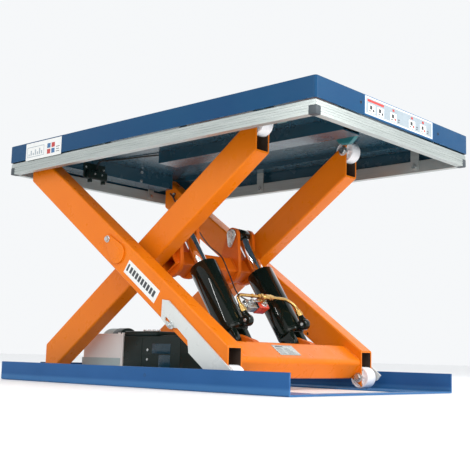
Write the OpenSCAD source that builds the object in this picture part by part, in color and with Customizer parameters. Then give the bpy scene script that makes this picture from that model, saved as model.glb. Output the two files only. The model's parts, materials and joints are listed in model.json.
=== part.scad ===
// Scissor lift table, raised to a mid-height working position.
// A steel base frame carries one pair of crossed legs on each side, lifted by two
// hydraulic cylinders, with a skirted platform and a sprung safety bar round its edge.
// Origin: on the floor under the platform's centre. +X runs to the roller end, +Z up.

/* [Platform] */
// Length of the platform
platform_l = 1350; // [1340:1:1360]
// Width of the platform
platform_w = 800; // [798:1:806]
// Height of the platform's top face above the floor
platform_h = 812; // [806:1:816]
// Thickness of the deck sheet
deck_t = 6; // [5:0.5:6.5]
// Height of the skirt, deck included
skirt_h = 58.6; // [56:0.2:60]
// Thickness of the skirt
skirt_t = 4; // [3:0.5:5]
// Radius of the skirt's upright corners
corner_r = 9; // [6:1:12]

/* [Safety bar] */
// How far the bar sits in from the skirt's outer face
bar_inset = 3; // [2:0.5:4]
// Gap between skirt and bar, which the bar closes when it is touched
bar_gap = 3.5; // [3.3:0.1:4]
// Height of the bar
bar_h = 38.5; // [36:0.5:40]
// Depth of the bar from outer to inner face
bar_d = 22; // [20:1:24]
// Height of the plastic corner caps
cap_h = 23; // [18:1:26]

/* [Base] */
// Left end of the base
base_left = -639; // [-645:1:-632]
// Right end of the base
base_right = 611; // [600:1:620]
// Width of the base
base_w = 814; // [812:1:820]
// Height of the side rails
rail_h = 60; // [55:1:64]
// Thickness of the base's plates
base_t = 5; // [4.5:0.5:5]
// Inner edge of the side rails, from the middle
rail_inner = 250; // [246:1:256]
// Radius of the floor anchor holes
anchor_r = 7; // [5:0.5:9]

/* [Legs] */
// Width of a leg's box section across the table
leg_w = 60; // [60:1:60]
// Depth of a leg's box section
leg_d = 95; // [92:1:96]
// Wall of a leg's box section
leg_wall = 5; // [4:0.5:6]
// Outer corner radius of the box section
leg_r = 6; // [4:1:8]
// Inner face of the outer legs, from the middle
outer_leg_y = 290; // [288:1:292]
// Inner face of the inner legs, from the middle
inner_leg_y = 194; // [192:1:196]
// Distance from the centre pivot to either end pin
half_span = 592; // [590:0.5:593]
// Distance of an end pin from the leg's middle line
pin_offset = 29.1; // [28:0.1:30]
// Distance from an end pin to the upright cut of the leg
end_margin = 11; // [9:0.5:11.5]
// Radius of the end pins
end_pin_r = 8; // [6:0.5:8]
// Radius of the centre pins
centre_pin_r = 15; // [12:0.5:18]
// X of the pins that stay in place
fixed_x = -591.7; // [-596:0.1:-588]

/* [Rollers] */
// Radius of the rollers
roller_r = 34; // [33:0.5:34]
// Width of the rollers
roller_w = 44; // [38:1:46]
// Gap between a roller and its track
roller_gap = 0.3; // [0.3:0.1:0.6]

/* [Cylinders] */
// Distance of each cylinder from the middle
cyl_y = 138; // [134:1:139]
// Outer radius of the barrels
barrel_r = 46; // [43:0.5:47]
// Length of the barrels
barrel_l = 250; // [246:1:252]
// Radius of the piston rods
rod_r = 20; // [17:0.5:21]
// Outer radius of the rod eyes
eye_r = 24; // [22:0.5:24]
// Width of the rod eyes
eye_w = 50; // [46:1:52]
// Radius of the pins through the rod eyes
eye_pin_r = 12; // [10:0.5:13]

/* [Safety struts] */
// Thickness of the safety struts
strut_t = 5; // [4:0.5:6]

/* [Hidden] */
$fn = 48;
fit = 0.05;
under = platform_h - deck_t;
low_pin_z = base_t + roller_r + roller_gap;
high_pin_z = under - roller_r - roller_gap;
pin_angle = asin((high_pin_z - low_pin_z) / (2 * half_span));
tube_angle = pin_angle - asin(pin_offset / half_span);
pin_u = sqrt(half_span * half_span - pin_offset * pin_offset);
roller_x = fixed_x + 2 * half_span * cos(pin_angle);
centre_x = (fixed_x + roller_x) / 2;
centre_z = (low_pin_z + high_pin_z) / 2;
left_cut = fixed_x - end_margin;
right_cut = roller_x + end_margin;
outer_leg_face = outer_leg_y + leg_w;
inner_leg_face = inner_leg_y + leg_w;
// rod eye in the inner leg's frame, foot pin in the outer leg's frame
eye_u = 122;
eye_v = 43;
foot_u = 418;
foot_v = -27;
eye_x = centre_x + eye_u * cos(tube_angle) - eye_v * sin(tube_angle);
eye_z = centre_z + eye_u * sin(tube_angle) + eye_v * cos(tube_angle);
foot_x = centre_x + foot_u * cos(tube_angle) + foot_v * sin(tube_angle);
foot_z = centre_z - foot_u * sin(tube_angle) + foot_v * cos(tube_angle);
cyl_l = norm([foot_x - eye_x, foot_z - eye_z]);
cyl_angle = atan2(eye_z - foot_z, foot_x - eye_x);
barrel_top = 165;
barrel_end = barrel_top + barrel_l;
bore_r = barrel_r - 7;
gland_l = 25;
piston_s = 240;
piston_l = 22;
ear_t = 14;
ear_gap = 31;
lug_t = 23;
cheek_gap = 12.5;
cheek_t = 24;
port_s = 413;
port_n = 63;
pipe_n = 66;
pipe_r = 5.5;
pipe_s = 320;
pipe_end_s = 386;
bar_top = platform_h - skirt_h - bar_gap;
bar_low = bar_top - bar_h;
bar_x = platform_l / 2 - bar_inset;
bar_y = platform_w / 2 - bar_inset;
pack_y = -150;
pack_w = 102;
channel_w = 86;
channel_h = 38;
strut_y = outer_leg_face + 1;
strut_bolt_u = 339;
strut_bolt_v = -35.4;
keeper_u = -65;
keeper_v = 12;

// ---------- placing and shapes ----------

// child drawn along U (along the leg) and V (across it), on the inner legs
module inner_frame() {
  translate([centre_x, 0, centre_z])
    rotate([0, -tube_angle, 0])
      children();
}

// the same on the outer legs
module outer_frame() {
  translate([centre_x, 0, centre_z])
    rotate([0, tube_angle, 0])
      children();
}

// child drawn along a cylinder's line, from the rod eye to the foot
module cylinder_frame(side) {
  translate([eye_x, side * cyl_y, eye_z])
    rotate([0, cyl_angle, 0])
      children();
}

// child on both sides of the table
module both_sides() {
  for (side = [-1, 1])
    scale([1, side, 1])
      children();
}

// round bar along Y between two distances from the middle
module y_rod(x, z, r, y0, y1) {
  translate([x, y1, z])
    rotate([90, 0, 0])
      cylinder(r = r, h = y1 - y0);
}

// round bar along X
module x_rod(r, l) {
  rotate([0, 90, 0])
    cylinder(r = r, h = l);
}

// flat outline in X and Z given a thickness along Y
module y_plate(y0, t) {
  translate([0, y0 + t, 0])
    rotate([90, 0, 0])
      linear_extrude(t)
        children();
}

// outline in Y and Z drawn out along X
module x_extrude(l) {
  rotate([90, 0, 90])
    linear_extrude(l)
      children();
}

module rounded_rect(w, h, r) {
  square([w - 2 * r, h], center = true);
  square([w, h - 2 * r], center = true);
  for (i = [-1, 1], j = [-1, 1])
    translate([i * (w / 2 - r), j * (h / 2 - r)])
      circle(r = r);
}

// two circles joined by their outer tangents
module link(x0, z0, r0, x1, z1, r1) {
  d = norm([x1 - x0, z1 - z0]);
  a = acos((r0 - r1) / d);
  translate([x0, z0])
    rotate(atan2(z1 - z0, x1 - x0)) {
      circle(r = r0);
      translate([d, 0])
        circle(r = r1);
      polygon([
        [r0 * cos(a), r0 * sin(a)],
        [r0 * cos(a), -r0 * sin(a)],
        [d + r1 * cos(a), -r1 * sin(a)],
        [d + r1 * cos(a), r1 * sin(a)]
      ]);
    }
}

// hexagon nut or bolt head along Y
module y_hex(x, z, r, y0, y1) {
  translate([x, y1, z])
    rotate([90, 0, 0])
      cylinder(r = r, h = y1 - y0, $fn = 6);
}

// ---------- base ----------

// upright side plates, the near one with a small hole
module base_side_rails() {
  color("#2a5f9e")
    difference() {
      both_sides()
        translate([base_left, base_w / 2 - base_t, 0])
          cube([base_right - base_left, base_t, rail_h]);
      y_rod(83, 37, 4, -base_w / 2 - 1, -base_w / 2 + base_t + 1);
    }
}

// flat plates on the floor that the lower rollers run on
module base_tracks() {
  color("#2a5f9e")
    both_sides()
      difference() {
        translate([base_left, rail_inner, 0])
          cube([base_right - base_left, base_w / 2 - base_t - rail_inner, base_t]);
        for (x = [base_left + 40, base_right - 40])
          translate([x, base_w / 2 - 31, -1])
            cylinder(r = anchor_r, h = base_t + 2);
      }
}

module base_pivot_crossmember() {
  color("#2a5f9e") {
    translate([base_left, -rail_inner, 0])
      cube([100, 2 * rail_inner, base_t]);
    translate([base_left, -rail_inner, base_t])
      cube([base_t, 2 * rail_inner, rail_h - base_t]);
  }
}

module base_end_strip() {
  color("#2a5f9e")
    translate([base_right - 40, -rail_inner, 0])
      cube([40, 2 * rail_inner, base_t]);
}

module base_pivot_lugs() {
  color("#2a5f9e")
    both_sides()
      for (y = [inner_leg_y - 13, inner_leg_face + 3])
        difference() {
          y_plate(y, 10)
            union() {
              translate([fixed_x, low_pin_z])
                circle(r = 18);
              translate([fixed_x - 18, base_t])
                square([36, low_pin_z - base_t]);
            }
          y_rod(fixed_x, low_pin_z, end_pin_r + fit, y - 1, y + 11);
        }
}

module base_pivot_pins() {
  color("#b8bcc0")
    both_sides() {
      y_rod(fixed_x, low_pin_z, end_pin_r, inner_leg_y - 13, inner_leg_face + 18);
      y_rod(fixed_x, low_pin_z, end_pin_r + 5, inner_leg_y - 18, inner_leg_y - 13);
    }
}

// plate on the floor that carries the power pack
module power_pack_bearer() {
  color("#2a5f9e")
    translate([base_left + 100, pack_y - 6, 0])
      cube([-30 - base_left - 100, pack_w + 12, base_t]);
}

module oil_tank() {
  color("#dcdcd8")
    translate([-528, pack_y, base_t + 37])
      cube([210, pack_w, 121]);
}

module oil_tank_tray() {
  color("#9aa39c")
    translate([-546, pack_y - 2, base_t])
      cube([230, pack_w + 4, 37]);
}

module control_box() {
  color("#2b302e")
    difference() {
      translate([-314, pack_y, base_t])
        cube([274, pack_w, 172 - base_t]);
      // step in the lid towards the legs
      translate([-150, pack_y - 1, 158])
        cube([120, pack_w + 2, 20]);
    }
}

module pump_motor() {
  color("#c9ccca")
    intersection() {
      translate([-448, pack_y + 51, 136])
        x_rod(46, 60);
      translate([-460, pack_y, base_t + 158])
        cube([80, pack_w, 40]);
    }
}

module pump_motor_band() {
  color("#1d1f1f")
    intersection() {
      difference() {
        translate([-388, pack_y + 51, 136])
          x_rod(48, 42);
        translate([-389, pack_y + 51, 136])
          x_rod(46.2, 20);
      }
      translate([-400, pack_y, base_t + 158])
        cube([70, pack_w, 40]);
    }
}

// ---------- legs ----------

// box tube along U, cut upright at both ends
module leg_tube(dir, y0) {
  intersection() {
    translate([left_cut, y0 - 1, -100])
      cube([right_cut - left_cut, leg_w + 2, platform_h + 200]);
    translate([centre_x, y0 + leg_w / 2, centre_z])
      rotate([0, dir * tube_angle, 0])
        translate([-800, 0, 0])
          difference() {
            x_extrude(1600)
              rounded_rect(leg_w, leg_d, leg_r);
            translate([-1, 0, 0])
              x_extrude(1602)
                rounded_rect(leg_w - 2 * leg_wall, leg_d - 2 * leg_wall, 2);
          }
  }
}

// opening at the roller end of a leg, on the side towards the track
module roller_notch(dir, y0) {
  translate([centre_x, y0 + leg_wall + 1.5, centre_z])
    rotate([0, dir * tube_angle, 0])
      translate([pin_u - roller_r - 8, 0, dir > 0 ? -leg_d / 2 - 1 : leg_d / 2 - leg_wall - 2])
        cube([200, leg_w - 2 * leg_wall - 3, leg_wall + 3]);
}

// dir is 1 for the outer legs, which slope down to the right, and -1 for the inner ones
module leg(dir, y0) {
  difference() {
    union() {
      leg_tube(dir, y0);
      y_rod(centre_x, centre_z, centre_pin_r + 8, y0 + 1, y0 + leg_w - 1);
    }
    roller_notch(dir, y0);
    y_rod(centre_x, centre_z, centre_pin_r + fit, y0 - 1, y0 + leg_w + 1);
    y_rod(fixed_x, dir > 0 ? high_pin_z : low_pin_z, end_pin_r + fit, y0 - 1, y0 + leg_w + 1);
    y_rod(roller_x, dir > 0 ? low_pin_z : high_pin_z, end_pin_r + fit, y0 - 1, y0 + leg_w + 1);
  }
}

module inner_leg_near() {
  color("#f08a1c")
    scale([1, -1, 1])
      leg(-1, inner_leg_y);
}

module inner_leg_far() {
  color("#f08a1c")
    leg(-1, inner_leg_y);
}

module outer_leg() {
  difference() {
    leg(1, outer_leg_y);
    outer_frame() {
      y_rod(strut_bolt_u, strut_bolt_v, 5.2, outer_leg_y - 1, outer_leg_face + 1);
      y_rod(keeper_u, keeper_v, 5.2, outer_leg_face - leg_wall - 1, outer_leg_face + 1);
    }
  }
}

module outer_leg_near() {
  color("#f08a1c")
    scale([1, -1, 1])
      outer_leg();
}

module outer_leg_far() {
  color("#f08a1c")
    outer_leg();
}

module crosstube(u, v, w, h, r, half) {
  translate([u + w / 2, half, v + h / 2])
    rotate([90, 0, 0])
      linear_extrude(2 * half)
        difference() {
          rounded_rect(w, h, r);
          rounded_rect(w - 10, h - 10, r - 4);
        }
}

beam_u = 12;
beam_v = -78;
beam_s = 60;

module inner_crossbeam() {
  color("#e07d1a")
    inner_frame()
      crosstube(beam_u, beam_v, beam_s, beam_s, 6, inner_leg_y);
}

module outer_crosstube() {
  color("#f08a1c")
    outer_frame()
      crosstube(476, -54, 98, 74, 15, outer_leg_y);
}

module rod_ear_plates() {
  color("#e07d1a")
    inner_frame()
      both_sides()
        for (y = [cyl_y - ear_gap - ear_t, cyl_y + ear_gap])
          difference() {
            y_plate(y, ear_t)
              difference() {
                link(beam_u + 30, beam_v + 30, 48, eye_u, eye_v, eye_r + 1);
                translate([beam_u, beam_v])
                  square(beam_s);
              }
            y_rod(eye_u, eye_v, eye_pin_r + fit, y - 1, y + ear_t + 1);
          }
}

module rod_pins() {
  color("#c9ccd0")
    inner_frame()
      for (side = [-1, 1])
        y_rod(eye_u, eye_v, eye_pin_r, side * cyl_y - ear_gap - ear_t - 8,
          side * cyl_y + ear_gap + ear_t + 4);
}

module rod_pin_keepers() {
  color("#c9ccd0")
    inner_frame()
      for (side = [-1, 1]) {
        y = side * cyl_y - ear_gap - ear_t;
        difference() {
          y_plate(y - 5, 4.9)
            link(eye_u, eye_v, 18, eye_u - 15, eye_v - 26, 9);
          y_rod(eye_u, eye_v, eye_pin_r + fit, y - 6, y + 1);
        }
        y_hex(eye_u - 15, eye_v - 26, 6, y - 9, y - 5);
      }
}

module roller_axle(z, y0) {
  y_rod(roller_x, z, end_pin_r, y0 - 1, y0 + leg_w);
  y_hex(roller_x, z, 12, y0 - 9, y0 - 1);
  y_rod(roller_x, z, 15, y0 - 1, y0);
}

module upper_roller_axles() {
  color("#c9ccd0")
    both_sides()
      roller_axle(high_pin_z, inner_leg_y);
}

module lower_roller_axles() {
  color("#c9ccd0")
    both_sides()
      roller_axle(low_pin_z, outer_leg_y);
}

module roller(z, y0) {
  y = y0 + (leg_w - roller_w) / 2;
  color("#eceae4")
    difference() {
      y_rod(roller_x, z, roller_r, y, y + roller_w);
      y_rod(roller_x, z, end_pin_r + fit, y - 1, y + roller_w + 1);
      // recessed faces
      for (face = [y - 1, y + roller_w - 3])
        difference() {
          y_rod(roller_x, z, roller_r - 7, face, face + 4);
          y_rod(roller_x, z, end_pin_r + 6, face - 1, face + 5);
        }
    }
}

module upper_roller_near() {
  scale([1, -1, 1])
    roller(high_pin_z, inner_leg_y);
}

module upper_roller_far() {
  roller(high_pin_z, inner_leg_y);
}

module lower_roller_near() {
  scale([1, -1, 1])
    roller(low_pin_z, outer_leg_y);
}

module lower_roller_far() {
  roller(low_pin_z, outer_leg_y);
}

module centre_pins() {
  color("#b8bcc0")
    both_sides() {
      y_rod(centre_x, centre_z, centre_pin_r, inner_leg_y - 6, outer_leg_face);
      y_rod(centre_x, centre_z, centre_pin_r + 6, inner_leg_y - 6, inner_leg_y - 1);
    }
}

module centre_spacers() {
  color("#3a3d3e")
    both_sides()
      difference() {
        y_rod(centre_x, centre_z, 28, inner_leg_face + 0.5, outer_leg_y);
        y_rod(centre_x, centre_z, centre_pin_r + fit, inner_leg_face - 1, outer_leg_y + 1);
      }
}

module centre_pin_keepers() {
  color("#f08a1c")
    outer_frame()
      both_sides()
        difference() {
          y_plate(outer_leg_face, 6)
            link(0, 0, 33, keeper_u, keeper_v, 15);
          y_rod(keeper_u, keeper_v, 5.2, outer_leg_face - 1, outer_leg_face + 7);
        }
}

module centre_keeper_bolts() {
  color("#c9ccd0")
    outer_frame()
      both_sides() {
        y_rod(keeper_u, keeper_v, 5, outer_leg_face - 8, outer_leg_face + 6);
        y_hex(keeper_u, keeper_v, 9, outer_leg_face + 6, outer_leg_face + 12);
      }
}

// one lug behind each cylinder's foot, between its two cheeks
module cylinder_foot_lugs() {
  color("#e07d1a")
    outer_frame()
      both_sides()
        difference() {
          y_plate(cyl_y - lug_t / 2, lug_t)
            difference() {
              link(foot_u, foot_v, 21, 474, -18, 32);
              translate([476, -60])
                square([60, 90]);
            }
          y_rod(foot_u, foot_v, eye_pin_r + fit, cyl_y - lug_t, cyl_y + lug_t);
        }
}

// each pin is as long as its lug is thick, which leaves the cylinder's foot free
module cylinder_foot_pins() {
  color("#b8bcc0")
    outer_frame()
      for (side = [-1, 1])
        translate([0, side * cyl_y, 0])
          y_rod(foot_u, foot_v, eye_pin_r, -lug_t / 2, lug_t / 2);
}

module type_plate() {
  color("#c4c8c4")
    outer_frame()
      translate([500, -100, 20])
        cube([49, 96, 1]);
}

module safety_strut() {
  outer_frame()
    difference() {
      y_plate(strut_y, strut_t)
        polygon([
          [262.7, 3.3],
          [292.8, -43.5],
          [333.6, -47.8],
          [365.3, -26.3],
          [420.6, -29.3],
          [445.7, -55.1],
          [588, -57],
          [622, -17],
          [624, 4],
          [285.5, 15.4]
        ]);
      // slot round the bolt
      y_plate(strut_y - 1, strut_t + 2)
        hull()
          for (i = [0, 1])
            translate([strut_bolt_u - 28 * i, strut_bolt_v + 3 * i])
              circle(r = 5.5, $fn = 32);
    }
}

module safety_strut_near() {
  color("#d9dcda")
    scale([1, -1, 1])
      safety_strut();
}

module safety_strut_far() {
  color("#d9dcda")
    safety_strut();
}

module strut_bolts() {
  color("#c9ccd0")
    outer_frame()
      both_sides() {
        y_rod(strut_bolt_u, strut_bolt_v, 5, outer_leg_y + 2, strut_y + strut_t + 12);
        y_hex(strut_bolt_u, strut_bolt_v, 10, strut_y + strut_t + 0.5, strut_y + strut_t + 8);
      }
}

// ---------- cylinders ----------

module piston_rod(side) {
  color("#d4d8dc")
    cylinder_frame(side)
      difference() {
        union() {
          x_rod(rod_r, piston_s);
          y_rod(0, 0, eye_r, -eye_w / 2, eye_w / 2);
        }
        y_rod(0, 0, eye_pin_r + fit, -eye_w, eye_w);
      }
}

module piston_rod_near() {
  piston_rod(-1);
}

module piston_rod_far() {
  piston_rod(1);
}

module pistons() {
  color("#8c9094")
    for (side = [-1, 1])
      cylinder_frame(side)
        translate([piston_s, 0, 0])
          x_rod(bore_r - fit, piston_l);
}

module barrel(side) {
  color("#1c1f1e")
    cylinder_frame(side)
      difference() {
        union() {
          translate([barrel_top, 0, 0])
            x_rod(barrel_r, barrel_l);
          // two cheeks, one each side of the foot lug
          for (y = [-cheek_gap - cheek_t, cheek_gap])
            y_plate(y, cheek_t)
              union() {
                translate([cyl_l, 0])
                  circle(r = 25);
                translate([barrel_end - 2, -25])
                  square([cyl_l - barrel_end + 2, 50]);
              }
        }
        translate([barrel_top - 1, 0, 0])
          x_rod(bore_r, barrel_l - 10);
      }
}

module barrel_near() {
  barrel(-1);
}

module barrel_far() {
  barrel(1);
}

module barrel_glands() {
  color("#2c2f2e")
    for (side = [-1, 1])
      cylinder_frame(side)
        translate([barrel_top, 0, 0])
          difference() {
            x_rod(bore_r, gland_l);
            translate([-1, 0, 0])
              x_rod(rod_r + fit, gland_l + 2);
          }
}

// round port block on each barrel's upper side, with its plug screw and pipe nut
module hydraulic_ports() {
  for (side = [-1, 1])
    cylinder_frame(side) {
      color("#1c1f1e")
        difference() {
          union() {
            y_rod(port_s, port_n, 18, -11, 11);
            translate([port_s - 18, -11, barrel_r - 8])
              cube([20, 22, port_n - barrel_r + 8]);
            translate([pipe_end_s, 0, pipe_n])
              x_rod(10, 14);
          }
          x_rod(barrel_r, 600);
        }
      color("#c9ccd0")
        y_rod(port_s, port_n, 5.5, -13, -11);
      color("#caa04a")
        translate([pipe_end_s - 14, 0, pipe_n])
          rotate([0, 90, 0])
            cylinder(r = 10, h = 14, $fn = 6);
    }
}

// brass pipe in lengths: a riser with a bend on each side, and a cross length through a tee
module delivery_pipe() {
  bend = 25;
  color("#caa04a")
    cylinder_frame(0) {
      both_sides() {
        translate([pipe_s + bend, cyl_y, pipe_n])
          x_rod(pipe_r, pipe_end_s - 14 - pipe_s - bend);
        translate([pipe_s + bend, cyl_y - bend, pipe_n])
          rotate([0, 0, 90])
            rotate_extrude(angle = 90)
              translate([bend, 0])
                circle(r = pipe_r);
      }
      translate([pipe_s, 0, pipe_n]) {
        y_rod(0, 0, pipe_r, -cyl_y + bend + 0.1, cyl_y - bend - 0.1);
        y_rod(0, 0, 8, -33, 31);
        y_hex(0, 0, 10, -33, -19);
        y_hex(0, 0, 10, 17, 31);
        translate([-8, -8, -21])
          cube([16, 16, 21]);
      }
    }
}

module valve_body() {
  color("#c9ccd0")
    cylinder_frame(0) {
      translate([pipe_s - 9, -64, 14])
        cube([32, 45.5, 24]);
      translate([pipe_s + 9, 0, 26])
        y_rod(0, 0, 9, -90, -64);
    }
}

module solenoid_coil() {
  cylinder_frame(0) {
    color("#c8281e")
      translate([pipe_s - 10, -18, 9])
        cube([34, 50, 35.5]);
    color("#c9ccd0")
      y_hex(pipe_s + 7, 27, 10, 32, 40);
  }
}

// ---------- platform ----------

module deck_outline(inset) {
  rounded_rect(platform_l - 2 * inset, platform_w - 2 * inset, corner_r - min(inset, 4));
}

module deck_plate() {
  color("#2c5f93")
    translate([0, 0, under])
      linear_extrude(deck_t)
        deck_outline(0);
}

module skirt() {
  translate([0, 0, platform_h - skirt_h])
    linear_extrude(skirt_h - deck_t)
      difference() {
        deck_outline(0);
        deck_outline(skirt_t);
      }
}

// the long sides carry the rounded corners
module skirt_sides() {
  color("#2c5f93")
    for (side = [-1, 1])
      intersection() {
        skirt();
        translate([-platform_l, side > 0 ? platform_w / 2 - corner_r : -platform_w / 2 - 1, 0])
          cube([2 * platform_l, corner_r + 1, platform_h]);
      }
}

module skirt_ends() {
  color("#2c5f93")
    for (x = [-platform_l / 2, platform_l / 2 - skirt_t])
      translate([x, -platform_w / 2 + corner_r, platform_h - skirt_h])
        cube([skirt_t, platform_w - 2 * corner_r, skirt_h - deck_t]);
}

// closed box that carries the outer legs' upper pins
module deck_crossmember() {
  color("#244f7c")
    difference() {
      translate([-640, -285, 755])
        cube([80, 570, under - 755]);
      translate([-636, -281, 759])
        cube([72, 562, under - 763]);
      y_rod(fixed_x, high_pin_z, end_pin_r + fit, -300, 300);
    }
}

module deck_channel() {
  color("#244f7c")
    difference() {
      translate([-290, -channel_w / 2, under - channel_h])
        cube([795, channel_w, channel_h]);
      translate([-291, -channel_w / 2 + 4, under - channel_h + 4])
        cube([797, channel_w - 8, channel_h]);
    }
}

module deck_side_rails() {
  color("#244f7c")
    both_sides()
      translate([-520, 318, under - 16])
        difference() {
          cube([1160, 67, 16]);
          translate([-1, 4, 4])
            cube([1162, 59, 16]);
        }
}

module upper_pivot_pins() {
  color("#b8bcc0")
    both_sides() {
      y_rod(fixed_x, high_pin_z, end_pin_r, 262, outer_leg_face + 8);
      y_rod(fixed_x, high_pin_z, end_pin_r + 5, outer_leg_face + 3, outer_leg_face + 8);
    }
}

// stops on the deck just past the upper rollers' furthest place
module roller_end_stops() {
  color("#2f7f86")
    both_sides()
      translate([630, inner_leg_y + 6, under - 24])
        cube([8, leg_w - 12, 24]);
}

guide_x = [-500, -170, 170, 500];
guide_y = [-250, 250];

// one strap on the skirt's inside, with an upright slot for the bar's bolt
module bar_guide(top) {
  difference() {
    translate([-15, 0, bar_low + 8])
      cube([30, 3, top - bar_low - 8]);
    y_plate(-1, 5)
      union() {
        for (z = [bar_low + 18, bar_low + 25])
          translate([0, z])
            circle(r = 4.5);
        translate([-4.5, bar_low + 18])
          square([9, 7]);
      }
  }
}

module bar_guides() {
  color("#244f7c") {
    both_sides()
      for (x = guide_x)
        translate([x, bar_y - bar_d - 3.6, 0])
          bar_guide(x > -510 ? under - 16 : under);
    for (side = [0, 180], y = guide_y)
      rotate([0, 0, side])
        translate([bar_x - bar_d - 0.6, y, 0])
          rotate([0, 0, 90])
            bar_guide(under);
  }
}

// limit switch and bracket on the crossmember, next to the safety bar
module bar_switch() {
  color("#202322") {
    translate([-560, -165, 730])
      cube([4, 100, 52]);
    translate([-556, -158, 712])
      cube([24, 86, 44]);
  }
}

// ---------- safety bar ----------

// section of the bar: hollow, with shallow grooves along its outer face
module bar_section() {
  difference() {
    square([bar_d, bar_h]);
    translate([2.5, 2.5])
      square([bar_d - 5, bar_h - 5]);
    for (i = [0 : 3])
      translate([bar_d - 1, 8 + 7 * i])
        square([2, 2]);
  }
}

// room for the corner caps
module cap_room() {
  for (i = [-1, 1], j = [-1, 1])
    translate([i * bar_x, j * bar_y, bar_low + cap_h / 2 - 1])
      cube([2 * bar_d + 1, 2 * bar_d + 1, cap_h + 2], center = true);
}

module safety_bar_sides() {
  color("#c8ccc6")
    difference() {
      both_sides()
        translate([-bar_x, bar_y - bar_d, bar_low])
          x_extrude(2 * bar_x)
            bar_section();
      cap_room();
    }
}

module safety_bar_ends() {
  half = bar_y - bar_d - 0.3;
  color("#c8ccc6")
    difference() {
      for (side = [0, 180])
        rotate([0, 0, side])
          translate([bar_x - bar_d, half, bar_low])
            rotate([90, 0, 0])
              linear_extrude(2 * half)
                bar_section();
      cap_room();
    }
}

// plastic caps on the corners, and the bolts that run in the guides
module safety_bar_fittings() {
  color("#3c4244")
    for (i = [-1, 1], j = [-1, 1])
      translate([i * (bar_x - bar_d / 2), j * (bar_y - bar_d / 2), bar_low])
        linear_extrude(cap_h)
          rounded_rect(bar_d, bar_d, 6);
  color("#c9ccd0") {
    both_sides()
      for (x = guide_x) {
        y_rod(x, bar_low + 18, 4, bar_y - bar_d - 5, bar_y - bar_d);
        y_hex(x, bar_low + 18, 8, bar_y - bar_d - 9, bar_y - bar_d - 5);
      }
    for (side = [0, 180], y = guide_y)
      rotate([0, 0, side])
        translate([bar_x - bar_d, y, bar_low + 18])
          rotate([0, -90, 0]) {
            cylinder(r = 4, h = 5);
            translate([0, 0, 5])
              cylinder(r = 8, h = 4, $fn = 6);
          }
  }
}

base_side_rails();
base_tracks();
base_pivot_crossmember();
base_end_strip();
base_pivot_lugs();
base_pivot_pins();
power_pack_bearer();
oil_tank();
oil_tank_tray();
control_box();
pump_motor();
pump_motor_band();
inner_leg_near();
inner_leg_far();
inner_crossbeam();
rod_ear_plates();
rod_pins();
rod_pin_keepers();
upper_roller_axles();
upper_roller_near();
upper_roller_far();
outer_leg_near();
outer_leg_far();
outer_crosstube();
cylinder_foot_lugs();
cylinder_foot_pins();
type_plate();
centre_pins();
centre_spacers();
centre_pin_keepers();
centre_keeper_bolts();
lower_roller_axles();
lower_roller_near();
lower_roller_far();
safety_strut_near();
safety_strut_far();
strut_bolts();
piston_rod_near();
piston_rod_far();
pistons();
barrel_near();
barrel_far();
barrel_glands();
hydraulic_ports();
delivery_pipe();
valve_body();
solenoid_coil();
deck_plate();
skirt_sides();
skirt_ends();
deck_crossmember();
deck_channel();
deck_side_rails();
upper_pivot_pins();
roller_end_stops();
bar_guides();
bar_switch();
safety_bar_sides();
safety_bar_ends();
safety_bar_fittings();
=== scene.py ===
import bmesh
import bpy
import json
import math
from math import cos, sin, pi, radians
from mathutils import Matrix, Vector


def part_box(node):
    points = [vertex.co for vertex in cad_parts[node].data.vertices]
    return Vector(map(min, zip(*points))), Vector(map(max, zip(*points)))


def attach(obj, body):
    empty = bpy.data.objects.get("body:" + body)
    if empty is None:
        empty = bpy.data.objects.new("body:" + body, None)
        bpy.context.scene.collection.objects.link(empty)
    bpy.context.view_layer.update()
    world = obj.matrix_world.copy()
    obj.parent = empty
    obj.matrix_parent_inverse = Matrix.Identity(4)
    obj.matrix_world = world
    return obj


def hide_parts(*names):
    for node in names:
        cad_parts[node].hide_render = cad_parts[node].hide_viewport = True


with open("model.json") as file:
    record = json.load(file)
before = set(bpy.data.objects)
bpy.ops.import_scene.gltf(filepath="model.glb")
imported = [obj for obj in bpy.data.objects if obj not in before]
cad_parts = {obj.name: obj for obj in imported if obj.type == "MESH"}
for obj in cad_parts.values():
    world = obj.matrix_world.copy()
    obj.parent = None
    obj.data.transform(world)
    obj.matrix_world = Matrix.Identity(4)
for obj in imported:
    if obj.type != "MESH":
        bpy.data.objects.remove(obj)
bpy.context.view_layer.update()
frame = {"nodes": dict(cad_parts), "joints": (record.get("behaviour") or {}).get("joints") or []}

MM = 0.001
nodes = frame["nodes"]
joints = {j["name"]: j for j in frame["joints"]}

# ---------------------------------------------------------------- camera

camera = bpy.data.objects.new("camera", bpy.data.cameras.new("camera"))
bpy.context.scene.collection.objects.link(camera)
AZIMUTH, PITCH, ROLL = radians(42.31), radians(7.83), radians(1.505)
camera.matrix_world = (
    Matrix.Translation((1.9968, -2.1422, 0.0938))
    @ Matrix.Rotation(AZIMUTH, 4, "Z")
    @ Matrix.Rotation(radians(90) + PITCH, 4, "X")
    @ Matrix.Rotation(ROLL, 4, "Z")
)
camera.data.lens = 68.07
camera.data.clip_end = 50
bpy.context.scene.camera = camera

# ---------------------------------------------------------------- the linkage's own frames

low_pin = Vector(joints["table_lift"]["pos_m"])
centre = Vector(joints["scissor_fold"]["pos_m"])
high_pin = Vector(joints["platform_level"]["pos_m"])
eye = Vector(joints["rod_swing"]["pos_m"])
stroke = Vector(joints["cylinder_stroke"]["axis"]).normalized()
roller_x = joints["lower_roller_far_spin"]["pos_m"][0]
# the end pins lie this far off the tubes' middle line and this far from the centre pin
PIN_OFFSET, HALF_SPAN = 29.1, 592.0
pin_angle = math.atan2(centre.z - low_pin.z, centre.x - low_pin.x)
tube_angle = pin_angle - math.asin(PIN_OFFSET / HALF_SPAN)


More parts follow.
